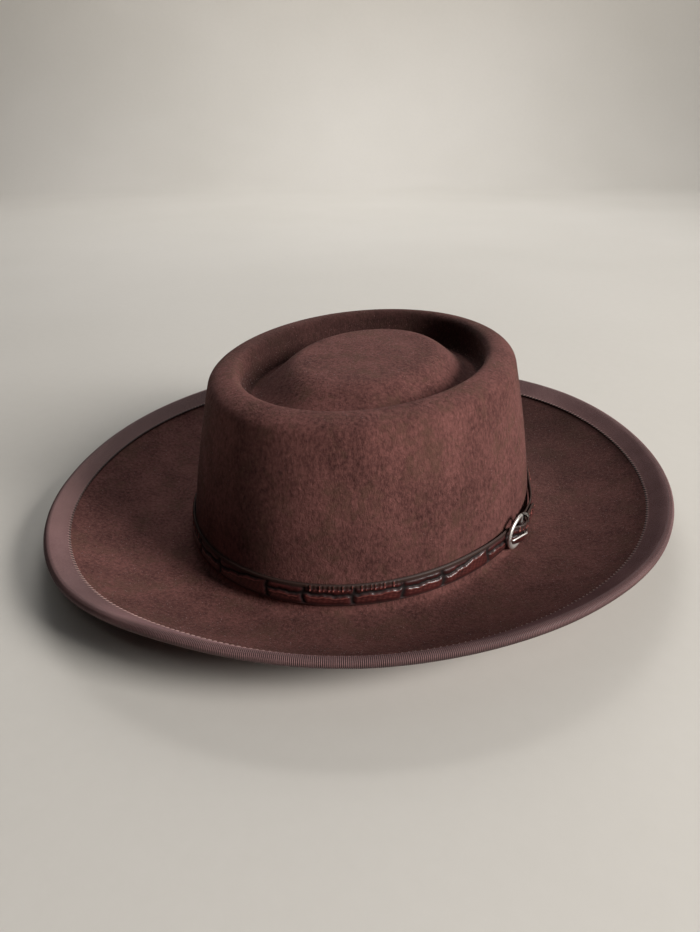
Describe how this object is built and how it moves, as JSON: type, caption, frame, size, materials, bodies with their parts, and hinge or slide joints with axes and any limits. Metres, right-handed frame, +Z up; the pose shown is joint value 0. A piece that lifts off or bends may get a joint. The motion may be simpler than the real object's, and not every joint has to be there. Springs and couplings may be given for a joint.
{
  "type": "porkpie hat",
  "caption": "Brown felt porkpie hat with a ridged telescope crown, a dished brim with folded binding, and a leather band closed by a metal buckle.",
  "frame": {"origin": "on the surface that the hat rests on, under the middle of its outline", "axes": "+Z up through the crown, -Y towards the front of the hat, +X towards the wearer's left, where the buckle is"},
  "size_m": [0.3134, 0.3276, 0.0866],
  "materials": {
    "felt": "matt brushed wool felt, reddish brown",
    "binding": "ribbed grosgrain ribbon, mauve brown",
    "leather": "glossy embossed leather, dark red brown",
    "metal": "polished, slightly warm silver"
  },
  "bodies": {
    "root": {"felt_body": "felt", "brim_binding": "binding", "band_strap": "leather", "buckle_frame": "metal", "buckle_prong": "metal", "keeper_loop": "metal"}
  },
  "joints": []
}
